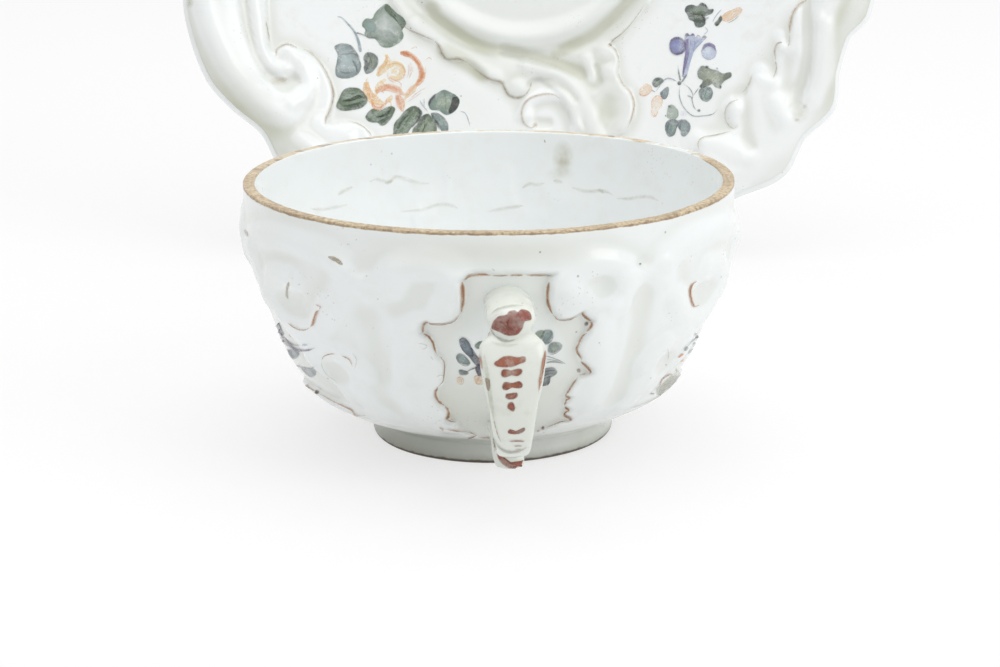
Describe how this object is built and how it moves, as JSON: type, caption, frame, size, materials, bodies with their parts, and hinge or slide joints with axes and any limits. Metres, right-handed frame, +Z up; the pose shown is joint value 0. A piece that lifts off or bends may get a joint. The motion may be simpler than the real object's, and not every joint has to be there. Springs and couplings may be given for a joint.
{
  "type": "broth cup and saucer",
  "caption": "Low round broth cup with scroll handles and moulded panels, standing before its lobed dish-shaped saucer, which stands on edge with its face forward.",
  "frame": {"origin": "on the table, under the middle of the pair's bounding box", "axes": "+Z up, +Y from the cup towards the saucer behind it, -Y towards the viewer, +X to the viewer's right"},
  "size_m": [0.2328, 0.3096, 0.2272],
  "materials": {
    "cup_glaze": "glossy white tin glaze with a cool grey cast",
    "handle_glaze": "glossy white tin glaze with red-brown brush strokes",
    "saucer_glaze": "glossy cream-white tin glaze",
    "foot_glaze": "thin white glaze, bare at the resting face"
  },
  "bodies": {
    "saucer": {"saucer_dish": "saucer_glaze", "saucer_foot_ring": "foot_glaze"},
    "cup": {"cup_bowl": "cup_glaze", "cup_foot_ring": "foot_glaze", "front_handle_upper_scroll": "handle_glaze", "front_handle_lower_strap": "handle_glaze", "front_handle_tip_leaf": "handle_glaze", "rear_handle_upper_scroll": "handle_glaze", "rear_handle_lower_strap": "handle_glaze", "rear_handle_tip_leaf": "handle_glaze"}
  },
  "joints": [
    {"name": "cup_lift", "type": "slide", "parent": "saucer", "child": "cup", "axis": [0, 0, 1], "range_m": [0, 0.24]}
  ]
}
